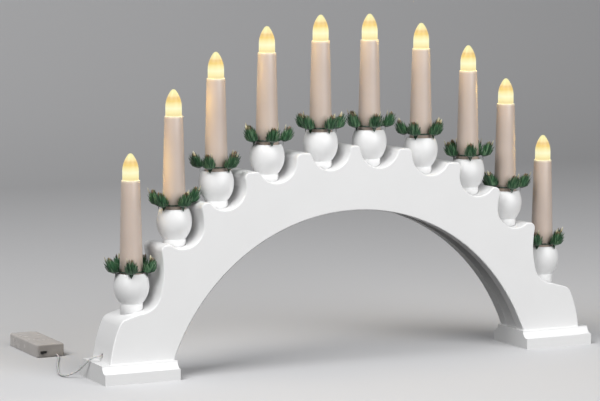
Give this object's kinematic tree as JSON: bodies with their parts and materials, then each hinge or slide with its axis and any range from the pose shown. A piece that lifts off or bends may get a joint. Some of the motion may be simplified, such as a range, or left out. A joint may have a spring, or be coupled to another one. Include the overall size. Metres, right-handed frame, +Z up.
{
  "type": "candle arch",
  "caption": "White stepped wooden arch on two moulded feet carrying battery-lit candles in turned ball cups with evergreen rings, and a clear battery box on a thin lead.",
  "frame": {"origin": "on the table, midway between the two feet", "axes": "+X along the arch, to the right seen from the front; +Y to the back; +Z up"},
  "size_m": [0.5465, 0.2482, 0.3362],
  "materials": {
    "painted_wood": "white satin paint",
    "candle_plastic": "ivory, slightly translucent",
    "flame_plastic": "frosted flame bulb, lit warm",
    "led": "warm diode",
    "lamp_plug": "moulded",
    "greenery": "dark green needles with brown buds and frosted tips",
    "wire_sleeve": "pale translucent sleeve",
    "clear_case": "clear moulded plastic",
    "switch_black": "moulded",
    "circuit_board": "lacquered board",
    "cell_sleeve": "plain dark sleeve",
    "contact_steel": "plated spring",
    "screw_steel": "zinc plated"
  },
  "bodies": {
    "arch": {"arch_board": "painted_wood", "foot_left": "painted_wood", "foot_right": "painted_wood", "foot_screws": "screw_steel", "lamp_plugs": "lamp_plug", "leds": "led", "wire_loom": "wire_sleeve", "battery_case": "clear_case", "switch_deck": "clear_case", "switch_body": "switch_black", "timer_board": "circuit_board", "battery_cells": "cell_sleeve", "cell_contacts": "contact_steel", "lead_cord": "wire_sleeve", "candle_cup_01": "painted_wood", "candle_tube_01": "candle_plastic", "flame_bulb_01": "flame_plastic", "candle_cup_02": "painted_wood", "candle_tube_02": "candle_plastic", "flame_bulb_02": "flame_plastic", "candle_cup_03": "painted_wood", "candle_tube_03": "candle_plastic", "flame_bulb_03": "flame_plastic", "candle_cup_04": "painted_wood", "candle_tube_04": "candle_plastic", "flame_bulb_04": "flame_plastic", "candle_cup_05": "painted_wood", "candle_tube_05": "candle_plastic", "flame_bulb_05": "flame_plastic", "candle_cup_06": "painted_wood", "candle_tube_06": "candle_plastic", "flame_bulb_06": "flame_plastic", "candle_cup_07": "painted_wood", "candle_tube_07": "candle_plastic", "flame_bulb_07": "flame_plastic", "candle_cup_08": "painted_wood", "candle_tube_08": "candle_plastic", "flame_bulb_08": "flame_plastic", "candle_cup_09": "painted_wood", "candle_tube_09": "candle_plastic", "flame_bulb_09": "flame_plastic", "candle_cup_10": "painted_wood", "candle_tube_10": "candle_plastic", "flame_bulb_10": "flame_plastic"},
    "battery_cover": {"battery_cover": "clear_case"},
    "switch_knob": {"switch_knob": "switch_black"},
    "ring_01": {"candle_ring_01": "greenery"},
    "ring_02": {"candle_ring_02": "greenery"},
    "ring_03": {"candle_ring_03": "greenery"},
    "ring_04": {"candle_ring_04": "greenery"},
    "ring_05": {"candle_ring_05": "greenery"},
    "ring_06": {"candle_ring_06": "greenery"},
    "ring_07": {"candle_ring_07": "greenery"},
    "ring_08": {"candle_ring_08": "greenery"},
    "ring_09": {"candle_ring_09": "greenery"},
    "ring_10": {"candle_ring_10": "greenery"}
  },
  "joints": [
    {"name": "cover_slide", "type": "slide", "parent": "arch", "child": "battery_cover", "axis": [0, 1, 0], "range_m": [0, 0.056]},
    {"name": "switch_slide", "type": "slide", "parent": "arch", "child": "switch_knob", "axis": [1, 0, 0], "range_m": [0, 0.004]},
    {"name": "ring_01_lift", "type": "slide", "parent": "arch", "child": "ring_01", "axis": [0, 0, 1], "range_m": [0, 0.118]},
    {"name": "ring_02_lift", "type": "slide", "parent": "arch", "child": "ring_02", "axis": [0, 0, 1], "range_m": [0, 0.118]},
    {"name": "ring_03_lift", "type": "slide", "parent": "arch", "child": "ring_03", "axis": [0, 0, 1], "range_m": [0, 0.118]},
    {"name": "ring_04_lift", "type": "slide", "parent": "arch", "child": "ring_04", "axis": [0, 0, 1], "range_m": [0, 0.118]},
    {"name": "ring_05_lift", "type": "slide", "parent": "arch", "child": "ring_05", "axis": [0, 0, 1], "range_m": [0, 0.118]},
    {"name": "ring_06_lift", "type": "slide", "parent": "arch", "child": "ring_06", "axis": [0, 0, 1], "range_m": [0, 0.118]},
    {"name": "ring_07_lift", "type": "slide", "parent": "arch", "child": "ring_07", "axis": [0, 0, 1], "range_m": [0, 0.118]},
    {"name": "ring_08_lift", "type": "slide", "parent": "arch", "child": "ring_08", "axis": [0, 0, 1], "range_m": [0, 0.118]},
    {"name": "ring_09_lift", "type": "slide", "parent": "arch", "child": "ring_09", "axis": [0, 0, 1], "range_m": [0, 0.118]},
    {"name": "ring_10_lift", "type": "slide", "parent": "arch", "child": "ring_10", "axis": [0, 0, 1], "range_m": [0, 0.118]}
  ]
}
